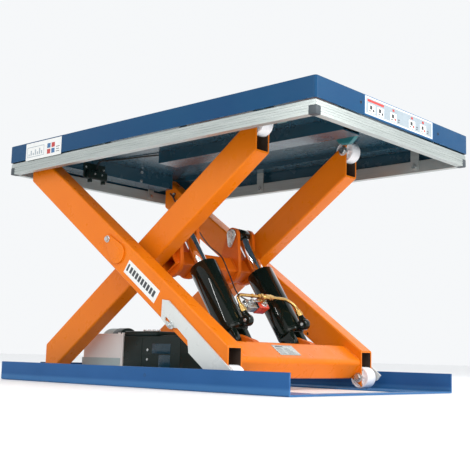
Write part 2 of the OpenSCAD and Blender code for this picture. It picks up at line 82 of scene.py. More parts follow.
def basis(origin, x, y, z):
    """Matrix with these three axes at this origin."""
    m = Matrix((x, y, z)).transposed().to_4x4()
    m.translation = origin
    return m


X, Y = Vector((1, 0, 0)), Vector((0, 1, 0))
ci, si = cos(tube_angle), sin(tube_angle)
# the legs' frames: X along the tube from the centre pin towards the rollers, Z across it, upwards
INNER = basis(centre, Vector((ci, 0, si)), Y, Vector((-si, 0, ci)))
OUTER = basis(centre, Vector((ci, 0, -si)), Y, Vector((si, 0, ci)))
CYL_Y_MM = 138


def cyl(side):
    """Frame of one cylinder, or of the plane between the two: X down the stroke, from the rod's eye."""
    up = Vector((-stroke.z, 0, stroke.x))
    return basis(Vector((eye.x, side * CYL_Y_MM * MM, eye.z)), stroke, Y, up)


WORLD = Matrix.Identity(4)

# ---------------------------------------------------------------- materials

mats = {}
LOW_BAND_BLUE = (0.07, 0.22, 0.45)
EDGE_WEAR_AND_HIGHLIGHT_RADIUS = 2.2 * MM


def material(
    name, colour, shade, rough=0.4, rough_var=0.08, metal=0.0, spec=0.5, coat=0.0,
    spots=6.0, grain=220.0, bump=0.12, edge_wear_and_highlight=0.0, edge_wear_and_highlight_colour=(0.55, 0.56, 0.57),
    stretch=(1, 1, 1), low_band=0.0,
):
    """Painted, metal or plastic surface: cloudy colour, fine grain, edges in another tone that is partly wear and
    partly painted highlight, and a paler band low down.
    """
    m = bpy.data.materials.new(name)
    m.use_nodes = True
    nt = m.node_tree
    nt.nodes.clear()
    link = nt.links.new

    def node(kind, **values):
        n = nt.nodes.new(kind)
        for k, v in values.items():
            setattr(n, k, v)
        return n

    out = node("ShaderNodeOutputMaterial")
    b = node("ShaderNodeBsdfPrincipled")
    link(b.outputs[0], out.inputs[0])
    b.inputs["Metallic"].default_value = metal
    b.inputs["Specular IOR Level"].default_value = spec
    b.inputs["Coat Weight"].default_value = coat
    b.inputs["Coat Roughness"].default_value = 0.08
    tc = node("ShaderNodeTexCoord")
    mp = node("ShaderNodeMapping")
    mp.inputs["Scale"].default_value = stretch
    link(tc.outputs["Object"], mp.inputs[0])

    def noise(scale, detail):
        n = node("ShaderNodeTexNoise")
        n.inputs["Scale"].default_value = scale
        n.inputs["Detail"].default_value = detail
        link(mp.outputs[0], n.inputs["Vector"])
        return n.outputs["Fac"]

    def remap(value, lo, hi, to_lo, to_hi):
        r = node("ShaderNodeMapRange")
        for i, v in enumerate((lo, hi, to_lo, to_hi)):
            r.inputs[i + 1].default_value = v
        link(value, r.inputs[0])
        return r.outputs[0]

    def mix(fac, a, c):
        x = node("ShaderNodeMix", data_type="RGBA")
        link(fac, x.inputs[0])
        for socket, v in ((x.inputs[6], a), (x.inputs[7], c)):
            if isinstance(v, tuple):
                socket.default_value = (*v, 1)
            else:
                link(v, socket)
        return x.outputs[2]

    cloud = remap(noise(spots, 4), 0.25, 0.75, 0, 1)
    col = mix(cloud, colour, shade)
    fine = noise(grain, 3)
    specks = remap(fine, 0.62, 0.72, 0, 0.35)
    col = mix(specks, col, tuple(c * 0.72 for c in colour))
    # lighter, bluer colour towards the bottom, below about 22 mm
    if low_band:
        sep = node("ShaderNodeSeparateXYZ")
        link(tc.outputs["Object"], sep.inputs[0])
        low = remap(sep.outputs["Z"], 0.014, 0.022, low_band, 0)
        col = mix(low, col, LOW_BAND_BLUE)
    # edges move in patches toward the edge colour: partly wear, partly a painted highlight along the edges
    if edge_wear_and_highlight:
        bev = node("ShaderNodeBevel", samples=4)
        bev.inputs["Radius"].default_value = EDGE_WEAR_AND_HIGHLIGHT_RADIUS
        geo = node("ShaderNodeNewGeometry")
        dot = node("ShaderNodeVectorMath", operation="DOT_PRODUCT")
        link(bev.outputs[0], dot.inputs[0])
        link(geo.outputs["Normal"], dot.inputs[1])
        edge = remap(dot.outputs["Value"], 0.985, 0.86, 0, 1)
        rub = remap(noise(45, 5), 0.46, 0.62, 0.15, 1)
        both = node("ShaderNodeMath", operation="MULTIPLY")
        link(edge, both.inputs[0])
        link(rub, both.inputs[1])
        amount = node("ShaderNodeMath", operation="MULTIPLY")
        link(both.outputs[0], amount.inputs[0])
        amount.inputs[1].default_value = edge_wear_and_highlight
        col = mix(amount.outputs[0], col, edge_wear_and_highlight_colour)
    link(col, b.inputs["Base Color"])
    link(remap(noise(spots * 5, 5), 0.3, 0.7, rough - rough_var, rough + rough_var), b.inputs["Roughness"])
    bp = node("ShaderNodeBump")
    bp.inputs["Strength"].default_value = bump
    bp.inputs["Distance"].default_value = 0.0004
    link(fine, bp.inputs["Height"])
    link(bp.outputs[0], b.inputs["Normal"])
    mats[name] = m


material("deck_blue", (0.0085, 0.066, 0.158), (0.0085, 0.057, 0.150), rough=0.36, edge_wear_and_highlight=0.45,
         edge_wear_and_highlight_colour=(0.14, 0.32, 0.5), spec=0.12)
material("base_blue", (0.022, 0.105, 0.290), (0.015, 0.085, 0.240), rough=0.36, edge_wear_and_highlight=0.55,
         edge_wear_and_highlight_colour=(0.2, 0.36, 0.55), spec=0.12, low_band=0.45)
material("raw_steel", (0.075, 0.048, 0.034), (0.045, 0.028, 0.020), rough=0.6, bump=0.3, spots=14)
material("dome_grey", (0.50, 0.63, 0.64), (0.42, 0.55, 0.56), rough=0.35)
material("navy", (0.012, 0.050, 0.075), (0.008, 0.036, 0.056), rough=0.25, spec=0.4)
# the deck paint in a teal tone that is painted shade, for the underside and the parts under the deck
material("under_blue_shade", (0.019, 0.072, 0.108), (0.015, 0.058, 0.090), rough=0.26, rough_var=0.03, spec=0.55,
         bump=0.06, spots=3)
material("orange", (0.82, 0.198, 0.004), (0.76, 0.168, 0.003), rough=0.32, edge_wear_and_highlight=0.4,
         edge_wear_and_highlight_colour=(0.93, 0.46, 0.16), spec=0.22, bump=0.08)
# the legs' orange paint, darker and redder as painted shade, for parts deep inside the scissor
material("orange_dark", (0.74, 0.145, 0.005), (0.66, 0.118, 0.004), rough=0.34, edge_wear_and_highlight=0.35,
         edge_wear_and_highlight_colour=(0.9, 0.40, 0.12), spec=0.22, bump=0.1)
material("zinc", (0.62, 0.64, 0.64), (0.48, 0.5, 0.49), rough=0.3, rough_var=0.1, metal=0.9, spots=60, bump=0.08)
material("steel_dark", (0.12, 0.125, 0.125), (0.07, 0.075, 0.075), rough=0.42, metal=0.8, spots=40)
material("chrome", (0.86, 0.87, 0.88), (0.8, 0.81, 0.82), rough=0.07, rough_var=0.03, metal=1.0,
         stretch=(1, 12, 1), bump=0.02)
material("black_gloss", (0.006, 0.011, 0.008), (0.004, 0.007, 0.005), rough=0.055, rough_var=0.02, spec=0.26,
         bump=0.04, edge_wear_and_highlight=0.25, edge_wear_and_highlight_colour=(0.12, 0.13, 0.12))
material("brass", (0.72, 0.47, 0.17), (0.6, 0.36, 0.11), rough=0.24, rough_var=0.08, metal=1.0, spots=50, bump=0.06)
material("nylon", (0.97, 0.96, 0.97), (0.93, 0.92, 0.93), rough=0.42, spots=30, bump=0.1, edge_wear_and_highlight=0.3,
         edge_wear_and_highlight_colour=(0.6, 0.57, 0.52))
material("aluminium", (0.46, 0.50, 0.48), (0.38, 0.42, 0.405), rough=0.36, metal=0.55, stretch=(0.25, 0.25, 9),
         spots=18, bump=0.16, edge_wear_and_highlight=0.5, edge_wear_and_highlight_colour=(0.86, 0.88, 0.86))
material("grey_plastic", (0.055, 0.07, 0.08), (0.04, 0.05, 0.058), rough=0.5, bump=0.25, grain=500)
material("black_plastic", (0.005, 0.018, 0.015), (0.003, 0.012, 0.010), rough=0.34, spec=0.25, bump=0.18, grain=600,
         edge_wear_and_highlight=0.3, edge_wear_and_highlight_colour=(0.08, 0.1, 0.09))
material("pack_grey", (0.86, 0.83, 0.79), (0.79, 0.76, 0.72), rough=0.4, edge_wear_and_highlight=0.4, edge_wear_and_highlight_colour=(0.8, 0.8, 0.78))
material("pack_green", (0.42, 0.52, 0.52), (0.35, 0.45, 0.45), rough=0.45, edge_wear_and_highlight=0.3)
material("strut_grey", (0.66, 0.68, 0.66), (0.58, 0.61, 0.59), rough=0.32, coat=0.3, edge_wear_and_highlight=0.5,
         edge_wear_and_highlight_colour=(0.86, 0.87, 0.86))
material("red_coil", (0.66, 0.055, 0.02), (0.52, 0.035, 0.014), rough=0.28, coat=0.4, bump=0.12, edge_wear_and_highlight=0.3,
         edge_wear_and_highlight_colour=(0.85, 0.25, 0.16))
material("rubber", (0.018, 0.02, 0.02), (0.012, 0.013, 0.013), rough=0.55, bump=0.3, grain=700)
material("label_white", (0.83, 0.84, 0.82), (0.77, 0.78, 0.76), rough=0.35, bump=0.03, spots=20)
material("label_dark", (0.05, 0.055, 0.06), (0.035, 0.04, 0.045), rough=0.4, bump=0.03)
material("label_blue", (0.05, 0.17, 0.36), (0.04, 0.14, 0.30), rough=0.35, bump=0.03)
material("label_red", (0.55, 0.05, 0.04), (0.47, 0.04, 0.035), rough=0.35, bump=0.03)
material("label_grey", (0.36, 0.42, 0.46), (0.30, 0.36, 0.4), rough=0.35, bump=0.03, spots=25)
material("plate_pale", (0.55, 0.58, 0.56), (0.48, 0.51, 0.49), rough=0.3, metal=0.3, bump=0.03, spots=20)
# the deck paint as it looks in shade: a painted shade colour
material("teal", (0.03, 0.22, 0.24), (0.02, 0.16, 0.18), rough=0.4)
material("hole_shade_black", (0.01, 0.01, 0.011), (0.006, 0.006, 0.007), rough=0.8)
material("floor_white", (0.90, 0.905, 0.91), (0.885, 0.89, 0.895), rough=0.65, bump=0.02, spots=1.5, grain=40)

CAD_LOOK = {
    "base_blue": ["base_tracks", "base_pivot_crossmember", "base_end_strip", "base_pivot_lugs",
                  "power_pack_bearer"],
    "under_blue_shade": ["deck_crossmember", "deck_channel", "deck_side_rails"],
    "aluminium": ["type_plate", "bar_guides"],
    "orange": ["inner_leg_near", "inner_leg_far", "outer_leg_near", "outer_leg_far", "outer_crosstube"],
    "orange_dark": ["inner_crossbeam", "rod_ear_plates", "cylinder_foot_lugs"],
    "zinc": ["base_pivot_pins", "rod_pins", "cylinder_foot_pins", "centre_pins", "upper_pivot_pins"],
    "steel_dark": ["centre_spacers", "pistons"],
    "strut_grey": ["safety_strut_near", "safety_strut_far"],
    "teal": ["roller_end_stops"],
}
for look, names in CAD_LOOK.items():
    for n in names:
        nodes[n].data.materials.clear()
        nodes[n].data.materials.append(mats[look])

# ---------------------------------------------------------------- mesh helpers


class Piece:
    """Collects geometry in millimetres, placed by a frame, and turns it into one object."""

    def __init__(self, name, body, looks, slot, replaces=(), angle=35):
        self.name, self.body, self.slot = name, body, slot
        self.looks = looks if isinstance(looks, list) else [looks]
        self.replaces, self.angle = replaces, angle
        self.bm = bmesh.new()

    def box(self, lo, hi, m=WORLD, r=1.0, seg=2, look=0):
        """Box with rounded edges."""
        b = bmesh.new()
        size = [hi[i] - lo[i] for i in range(3)]
        bmesh.ops.create_cube(b, size=1)
        for v in b.verts:
            v.co = Vector([(v.co[i] + 0.5) * size[i] + lo[i] for i in range(3)])
        r = min(r, min(size) * 0.45)
        bmesh.ops.bevel(b, geom=b.edges[:], offset=r, segments=seg, profile=0.5, affect="EDGES")
        self._merge(b, m, look)

    def _merge(self, b, m, look):
        """Adds a mesh in millimetres, placed in metres."""
        mesh = bpy.data.meshes.new("part")
        bmesh.ops.recalc_face_normals(b, faces=b.faces[:])
        b.to_mesh(mesh)
        b.free()
        start = len(self.bm.verts)
        faces = len(self.bm.faces)
        self.bm.from_mesh(mesh)
        bpy.data.meshes.remove(mesh)
        self.bm.verts.ensure_lookup_table()
        self.bm.faces.ensure_lookup_table()
        for v in self.bm.verts[start:]:
            v.co = m @ (v.co * MM)
        for f in self.bm.faces[faces:]:
            f.material_index = look

    def plate(self, outline, y0, y1, m=WORLD, r=0.8, seg=2):
        """Flat outline in X and Z, thick along Y, with softened rims."""
        b = bmesh.new()
        face = b.faces.new([b.verts.new((x, y0, z)) for x, z in outline])
        got = bmesh.ops.extrude_face_region(b, geom=[face])
        for v in got["geom"]:
            if isinstance(v, bmesh.types.BMVert):
                v.co.y = y1
        bmesh.ops.recalc_face_normals(b, faces=b.faces[:])
        rim = [e for e in b.edges if abs(e.verts[0].co.y - e.verts[1].co.y) < 1e-6]
        bmesh.ops.bevel(b, geom=rim, offset=r, segments=seg, profile=0.5, affect="EDGES")
        self._merge(b, m, 0)

    def lathe(self, profile, m=WORLD, axis="X", seg=64, look=0, closed=False):
        """Profile of (along, radius) turned round an axis."""
        b = bmesh.new()
        rings = []
        for a, rad in profile:
            ring = []
            for i in range(seg if rad > 1e-6 else 1):
                t = 2 * pi * i / seg
                p, q = rad * cos(t), rad * sin(t)
                ring.append(b.verts.new({"X": (a, p, q), "Y": (p, a, q), "Z": (p, q, a)}[axis]))
            rings.append(ring)
        pairs = list(zip(rings, rings[1:])) + ([(rings[-1], rings[0])] if closed else [])
        for r0, r1 in pairs:
            for i in range(seg):
                quad = [r0[i % len(r0)], r0[(i + 1) % len(r0)], r1[(i + 1) % len(r1)], r1[i % len(r1)]]
                quad = list(dict.fromkeys(quad))
                if len(quad) > 2:
                    b.faces.new(quad)
        self._merge(b, m, look)

    def tube(self, points, rad, m=WORLD, seg=12, look=0):
        """Round bar along a path."""
        b = bmesh.new()
        pts = [Vector(p) for p in points]
        tang = [(pts[min(i + 1, len(pts) - 1)] - pts[max(i - 1, 0)]).normalized() for i in range(len(pts))]
        normal = tang[0].orthogonal().normalized()
        rings = []
        for p, t in zip(pts, tang):
            normal = (normal - t * normal.dot(t)).normalized()
            side = t.cross(normal)
            rings.append([b.verts.new(p + rad * (cos(2 * pi * i / seg) * normal + sin(2 * pi * i / seg) * side))
                          for i in range(seg)])
        for r0, r1 in zip(rings, rings[1:]):
            for i in range(seg):
                b.faces.new((r0[i], r0[(i + 1) % seg], r1[(i + 1) % seg], r1[i]))
        b.faces.new(rings[0])
        b.faces.new(rings[-1])
        self._merge(b, m, look)

    def hexagon(self, centre_xyz, rad, h, m=WORLD, axis="Y", look=0):
        """Nut or bolt head with chamfered corners, standing up from its centre along the axis."""
        b = bmesh.new()
        levels = [(0, 1.0), (h * 0.75, 1.0), (h, 0.86)]
        rings = []
        for a, k in levels:
            ring = []
            for i in range(24):
                t = 2 * pi * i / 24
                flat = cos(pi / 6) / cos((t % (pi / 3)) - pi / 6)
                rr = rad * min(flat, k)
                ring.append((rr * cos(t), rr * sin(t), a))
            rings.append(ring)
        cx, cy, cz = centre_xyz
        made = []
        for ring in rings:
            made.append([b.verts.new({"Y": (cx + p, cy + a, cz + q), "X": (cx + a, cy + p, cz + q),
                                      "Z": (cx + p, cy + q, cz + a)}[axis]) for p, q, a in ring])
        for r0, r1 in zip(made, made[1:]):
            for i in range(24):
                b.faces.new((r0[i], r0[(i + 1) % 24], r1[(i + 1) % 24], r1[i]))
        b.faces.new(made[0])
        b.faces.new(made[-1])
        self._merge(b, m, look)

    def rings(self, loops, m=WORLD, look=0, closed=False):
        """Skin between equal-sized loops of points."""
        b = bmesh.new()
        made = [[b.verts.new(p) for p in loop] for loop in loops]
        n = len(loops[0])
        for r0, r1 in list(zip(made, made[1:])) + ([(made[-1], made[0])] if closed else []):
            for i in range(n):
                b.faces.new((r0[i], r0[(i + 1) % n], r1[(i + 1) % n], r1[i]))
        if not closed:
            b.faces.new(made[0])
            b.faces.new(made[-1])
        self._merge(b, m, look)

    def weld_bead(self, p0, p1, rad, m):
        """Rippled weld along a straight joint."""
        p0, p1 = Vector(p0), Vector(p1)
        length = (p1 - p0).length
        count = max(8, int(length / 3.0))
        b = bmesh.new()
        t = (p1 - p0).normalized()
        normal = t.orthogonal().normalized()
        side = t.cross(normal)
        rings = []
        for i in range(count + 1):
            k = i / count
            rr = rad * (0.86 + 0.14 * abs(sin(i * 1.9))) * (0.55 if i in (0, count) else 1)
            wob = 0.4 * sin(i * 0.7)
            c = p0.lerp(p1, k) + wob * side
            rings.append([b.verts.new(c + rr * (cos(2 * pi * j / 8) * normal + sin(2 * pi * j / 8) * side))
                          for j in range(8)])
        for r0, r1 in zip(rings, rings[1:]):
            for j in range(8):
                b.faces.new((r0[j], r0[(j + 1) % 8], r1[(j + 1) % 8], r1[j]))
        b.faces.new(rings[0])
        b.faces.new(rings[-1])
        self._merge(b, m, 0)

    def done(self):
        """Makes the object, with its materials and body, and hides the nodes it replaces."""
        mesh = bpy.data.meshes.new(self.name)
        self.bm.to_mesh(mesh)
        self.bm.free()
        for look in self.looks:
            mesh.materials.append(mats[look])
        mesh.polygons.foreach_set("use_smooth", [True] * len(mesh.polygons))
        mesh.set_sharp_from_angle(angle=radians(self.angle))
        obj = bpy.data.objects.new(self.name, mesh)
        bpy.context.scene.collection.objects.link(obj)
        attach(obj, self.body)
        if self.replaces:
            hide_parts(*self.replaces)
        return obj


def rounded_loop(hx, hy, z, r, inset=0.0, n=6):
    """Rounded rectangle in X and Y at a height, as a list of points."""
    hx, hy, r = hx - inset, hy - inset, max(r - inset, 0.8)
    pts = []
    for sx, sy, start in ((1, 1, 0), (-1, 1, 90), (-1, -1, 180), (1, -1, 270)):
        for i in range(n + 1):
            t = radians(start + 90 * i / n)
            pts.append(((sx * (hx - r)) + r * cos(t), (sy * (hy - r)) + r * sin(t), z))
    return pts


def link_outline(c0, r0, c1, r1, n=18):
    """Two circles joined by tangents."""
    d = math.hypot(c1[0] - c0[0], c1[1] - c0[1])
    a = math.acos((r0 - r1) / d)
    base = math.atan2(c1[1] - c0[1], c1[0] - c0[0])
    pts = []
    for i in range(n + 1):
        t = base + a + (2 * pi - 2 * a) * i / n
        pts.append((c0[0] + r0 * cos(t), c0[1] + r0 * sin(t)))
    for i in range(n + 1):
        t = base - a + 2 * a * i / n
        pts.append((c1[0] + r1 * cos(t), c1[1] + r1 * sin(t)))
    return pts


def smooth_path(points, per=8):
    """Catmull-Rom curve through points."""
    p = [Vector(points[0])] + [Vector(q) for q in points] + [Vector(points[-1])]
    out = []
    for i in range(1, len(p) - 2):
        for j in range(per):
            t = j / per
            out.append(0.5 * ((2 * p[i]) + (p[i + 1] - p[i - 1]) * t
                              + (2 * p[i - 1] - 5 * p[i] + 4 * p[i + 1] - p[i + 2]) * t * t
                              + (3 * p[i] - p[i - 1] - 3 * p[i + 1] + p[i + 2]) * t ** 3))
    out.append(p[-2])
    return out


def mm(v):
    """Metres to millimetres."""
    return v / MM


# ---------------------------------------------------------------- platform

deck_low, deck_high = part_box("deck_plate")
skirt_low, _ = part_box("skirt_sides")
HX, HY, TOP = mm(deck_high.x), mm(deck_high.y), mm(deck_high.z)
SKIRT = mm(skirt_low.z)
UNDER = mm(deck_low.z)
SKIRT_CORNER, BAR_CORNER, CAP_HALF = 9, 5, 13.2

shell = Piece("platform_shell", "platform", ["deck_blue", "under_blue_shade"], "blue_paint",
              ["deck_plate", "skirt_sides", "skirt_ends"], angle=40)
levels = [(UNDER, 4.0), (SKIRT, 4.0), (SKIRT, 3.4), (SKIRT, 0.6), (SKIRT + 0.6, 0.0), (TOP - 1.8, 0.0),
          (TOP - 0.9, 0.25), (TOP - 0.25, 0.9), (TOP, 1.8)]
shell.rings([rounded_loop(HX, HY, z, SKIRT_CORNER, i) for z, i in levels])
# the underside and the inside of the skirt get the deck paint in a teal tone that is painted shade
for f in shell.done().data.polygons:
    c = f.center
    under = f.normal.z < -0.5 and c.z > (UNDER - 1) * MM
    inside = SKIRT * MM < c.z < UNDER * MM and abs(f.normal.z) < 0.3 and f.normal.xy.dot(c.xy) < 0
    if under or inside:
        f.material_index = 1

# safety bar: grooved aluminium profile swept round the platform
bar_low, bar_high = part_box("safety_bar_sides")
BX, BY, B0, B1 = mm(bar_high.x), mm(bar_high.y), mm(bar_low.z), mm(bar_high.z)
profile = [(0.8, B0), (0.0, B0 + 0.8), (0.0, B0 + 5)]
for i in range(4):
    z = B0 + 7.5 + 7 * i
    profile += [(0.0, z), (1.1, z + 0.4), (1.1, z + 1.6), (0.0, z + 2.0)]
profile += [(0.0, B1 - 4), (1.6, B1 - 3.4), (1.6, B1 - 0.8), (2.4, B1), (21, B1), (22, B1 - 1), (22, B0 + 1),
            (21, B0)]
bar = Piece("touch_bar_frame", "touch_bar", "aluminium", "bar_aluminium", ["safety_bar_sides", "safety_bar_ends"],
            angle=25)
bar.rings([rounded_loop(BX, BY, z, BAR_CORNER, i, 4) for i, z in profile], closed=True)
bar.done()

caps = Piece("corner_caps_and_bolts", "touch_bar", ["grey_plastic", "zinc"], "grey_plastic",
             ["safety_bar_fittings"])
for sx in (-1, 1):
    for sy in (-1, 1):
        cx, cy = sx * (BX - 12.4), sy * (BY - 12.4)
        loops = []
        for z, i in ((B0 - 0.6, 2.2), (B0 - 0.2, 0.8), (B0 + 1.0, 0), (B0 + 21, 0), (B0 + 22.6, 0.9),
                     (B0 + 23, 2.4)):
            loops.append([(x + cx, y + cy, z) for x, y, z in rounded_loop(CAP_HALF, CAP_HALF, z, 6, i, 5)])
        caps.rings(loops)
        caps.box((cx - 8, cy - 8, B0 - 1.2), (cx + 8, cy + 8, B0 + 0.5), r=0.5)
GUIDE_X, GUIDE_Y, GUIDE_Z = (-500, -170, 170, 500), (-250, 250), B0 + 18
for sy in (-1, 1):
    for x in GUIDE_X:
        m = Matrix.Scale(sy, 4, Y)
        at = Matrix.Translation((x * MM, 0, GUIDE_Z * MM)) @ m
        caps.lathe([(BY - 27, 4), (BY - 21.5, 4)], at, "Y", 24, 1)
        caps.hexagon((x, BY - 31, GUIDE_Z), 8, 5, m, "Y", 1)
for sx in (-1, 1):
    for y in GUIDE_Y:
        m = Matrix.Scale(sx, 4, X)
        at = m @ Matrix.Translation((0, y * MM, GUIDE_Z * MM))
        caps.lathe([(BX - 27, 4), (BX - 21.5, 4)], at, "X", 24, 1)
        caps.hexagon((BX - 31, y, GUIDE_Z), 8, 5, m, "X", 1)
caps.done()


# ---------------------------------------------------------------- base

rail_low, rail_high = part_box("base_side_rails")
RX0, RX1, RY, RZ = mm(rail_low.x), mm(rail_high.x), mm(rail_high.y), mm(rail_high.z)
rails = Piece("side_rails", "base", ["base_blue", "hole_shade_black"], "blue_paint", ["base_side_rails"], angle=30)
section = [(RY - 5, 0.0)]
for i in range(7):
    t = radians(-90 + 90 * i / 6)
    section.append((RY - 5 + 5 * cos(t), 5 + 5 * sin(t)))
section += [(RY, RZ - 1.5), (RY - 0.5, RZ - 0.5), (RY - 1.5, RZ), (RY - 3.5, RZ), (RY - 4.5, RZ - 0.5),
            (RY - 5, RZ - 1.5)]
for sy in (-1, 1):
    rails.rings([[(x, sy * y, z) for y, z in section] for x in (RX0, RX1)])
# rivet holes: shallow near-black discs of painted shade
rails.lathe([(-RY - 0.3, 4.4), (-RY - 0.3, 3.6), (-RY + 0.6, 3.4), (-RY + 0.6, 0)],
            Matrix.Translation((0.083, 0, 0.037)), "Y", 24, 1)
rails.done()

tank_low, tank_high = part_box("oil_tank")
TX0, PY0, TZ0 = (mm(v) for v in tank_low)
TX1, PY1, TZ1 = (mm(v) for v in tank_high)
tank = Piece("oil_tank_body", "base", "pack_grey", "light_grey_paint", ["oil_tank"])
tank.box((TX0, PY0, TZ0), (TX1, PY1, TZ1 - 4), r=6, seg=4)
tank.box((TX0 - 0.5, PY0 - 3, TZ1 - 8), (TX1 + 3, PY1 + 3, TZ1), r=2)
for x in (TX0 + 25, TX1 - 25):
    for y in (PY0 + 6, PY1 - 6):
        tank.hexagon((x, y, TZ1), 5, 4, axis="Z")
tank.box((TX1 - 5, PY0 - 1.5, 6), (TX1 + 2, PY1 + 1.5, TZ1 + 4), r=1.5, seg=3)
tank.lathe([(TZ1, 13), (TZ1 + 6, 13), (TZ1 + 7.5, 11), (TZ1 + 7.5, 0)],
           Matrix.Translation(((TX0 + 20) * MM, (PY0 + 30) * MM, 0)), "Z", 32)
tank.done()
tray = Piece("tank_tray", "base", "pack_green", "light_grey_paint", ["oil_tank_tray"])
tray.box((-546, PY0 - 2, 5), (TX1 + 1, PY1 + 2, TZ0 + 0.5), r=3, seg=3)
tray.box((-531, PY0 - 1.3, 30), (TX1 - 9, PY1 + 1.3, 81), r=1, seg=2)
tray.done()

box_low, box_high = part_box("control_box")
KX0, KX1, KZ1 = mm(box_low.x), mm(box_high.x), mm(box_high.z)
pack = Piece("control_box_body", "base", ["black_plastic", "navy", "zinc", "label_white"], "black_plastic",
             ["control_box"])
pack.box((KX0, PY0, 5), (KX1, PY1, 157), r=5, seg=4)
pack.box((KX0 + 1, PY0 + 1, 156), (-152, PY1 - 1, KZ1), r=5, seg=4)
pack.box((KX0 + 92, PY0 - 1.2, 12), (KX0 + 94.5, PY0 + 2, 150), r=0.6)
pack.box((KX0 + 94, PY0 - 1.0, 96), (KX1 - 4, PY0 + 2, 97.5), r=0.4)
for x, z in ((-192, 79), (-191, 110), (KX1 - 12, 20)):
    pack.lathe([(PY0 - 2.4, 0), (PY0 - 2.4, 3.4), (PY0 - 1.6, 4.4), (PY0 + 1, 4.4)],
               Matrix.Translation((x * MM, 0, z * MM)), "Y", 20, 2)
pack.lathe([(PY0 - 9, 0), (PY0 - 9, 6), (PY0 - 7, 8), (PY0 + 1, 8)],
           Matrix.Translation(((KX0 + 82) * MM, 0, 0.026)), "Y", 24)
pack.box((-169, PY0 - 1.3, 99), (-83, PY0 + 1, 131), r=0.4, look=1)
pack.box((-137, PY0 - 1.3, 52), (-83, PY0 + 1, 95), r=0.4, look=1)
for i in range(4):
    pack.hexagon((-240 + 22 * i, PY0 + 30, KZ1 - 0.5), 6, 6, axis="Z", look=2)
pack.box((-215, PY0 + 8, KZ1 - 1), (-165, PY0 + 26, KZ1 + 2.5), r=1, look=3)
pack.done()

motor = Piece("pump_motor_body", "base", ["dome_grey", "black_plastic"], "light_grey_paint",
              ["pump_motor", "pump_motor_band"])
MOTOR_Y, MOTOR_Z = (PY0 + PY1) / 2, 136


def arch(profile_points, look):
    """Top of a cylinder along X, closed by a flat floor at a height of 150."""
    loops = []
    for a, rad in profile_points:
        loop = []
        for i in range(25):
            t = radians(18 + 144 * i / 24)
            loop.append((a, MOTOR_Y + rad * cos(t), MOTOR_Z + rad * sin(t)))
        for side in (-1, 1):
            loop.append((a, MOTOR_Y + side * rad * cos(radians(18)), 150))
        loops.append(loop)
    motor.rings(loops, look=look)


arch([(-448, 30), (-445, 40), (-440, 45), (-435, 46), (-396, 46), (-390, 45), (-388, 45)], 0)
arch([(-388, 38), (-388, 47), (-386, 48), (-348, 48), (-346, 46), (-346, 38)], 1)
for i in range(4):
    arch([(-432 + 10 * i, 45), (-432 + 10 * i, 46.8), (-429 + 10 * i, 46.8), (-429 + 10 * i, 45)], 0)
motor.done()

# ---------------------------------------------------------------- rollers and their bolts

ROLLER_RADIUS, ROLLER_WIDTH = 34, 44
LEG_WIDTH, INNER_LEG_FACE, OUTER_LEG_FACE = 60, 194, 290
LEG_OUTSIDE = OUTER_LEG_FACE + LEG_WIDTH


def roller(name, body, node, y0, z):
    """White roller with six ribs on each face."""
    p = Piece(name, body, "nylon", "nylon", [node])
    r, h = ROLLER_RADIUS, ROLLER_WIDTH / 2
    m = Matrix.Translation((roller_x, y0 * MM, z))
    p.lathe([(-h, 8.1), (-h, 14), (-h + 3.5, 15), (-h + 3.5, 26), (-h + 0.3, 27.5), (-h, 28.5), (-h, r - 2.5),
             (-h + 0.8, r - 0.8), (-h + 2.5, r), (h - 2.5, r), (h - 0.8, r - 0.8), (h, r - 2.5), (h, 28.5),
             (h - 0.3, 27.5), (h - 3.5, 26), (h - 3.5, 15), (h, 14), (h, 8.1)], m, "Y", 72, closed=True)
    for end in (-1, 1):
        for k in range(6):
            turn = Matrix.Rotation(2 * pi * k / 6, 4, "Y")
            p.box((13.5, end * (h - 2) - 2, -2), (28, end * (h - 2) + 2, 2), m @ turn, r=0.7)
    p.done()


for side, word in ((-1, "near"), (1, "far")):
    roller("lower_roller_" + word + "_wheel", "lower_wheel_" + word, "lower_roller_" + word,
           side * (OUTER_LEG_FACE + LEG_WIDTH / 2), low_pin.z)
    roller("upper_roller_" + word + "_wheel", "upper_wheel_" + word, "upper_roller_" + word,
           side * (INNER_LEG_FACE + LEG_WIDTH / 2), high_pin.z)


def axle_bolts(name, body, node, y0, z):
    """Axles through the legs, with a washer and a nut on the inner faces."""
    p = Piece(name, body, "zinc", "zinc_steel", [node])
    for side in (-1, 1):
        m = Matrix.Translation((roller_x, 0, z)) @ Matrix.Scale(side, 4, Y)
        y1 = y0 + LEG_WIDTH
        p.lathe([(y0 - 1, 8), (y1, 8), (y1 + 0.4, 7), (y1 + 0.4, 0)], m, "Y", 32)
        p.lathe([(y0, 9), (y0, 15), (y0 - 0.4, 15.6), (y0 - 1.8, 15.6), (y0 - 2.2, 15), (y0 - 2.2, 6)], m, "Y", 40)
        p.hexagon((0, -(y0 - 2), 0), 12, 8, m @ Matrix.Scale(-1, 4, Y), "Y")
    p.done()


axle_bolts("upper_axle_bolts", "inner_frame", "upper_roller_axles", INNER_LEG_FACE, high_pin.z)
axle_bolts("lower_axle_bolts", "outer_frame", "lower_roller_axles", OUTER_LEG_FACE, low_pin.z)

# ---------------------------------------------------------------- pivots, keepers, strut bolts

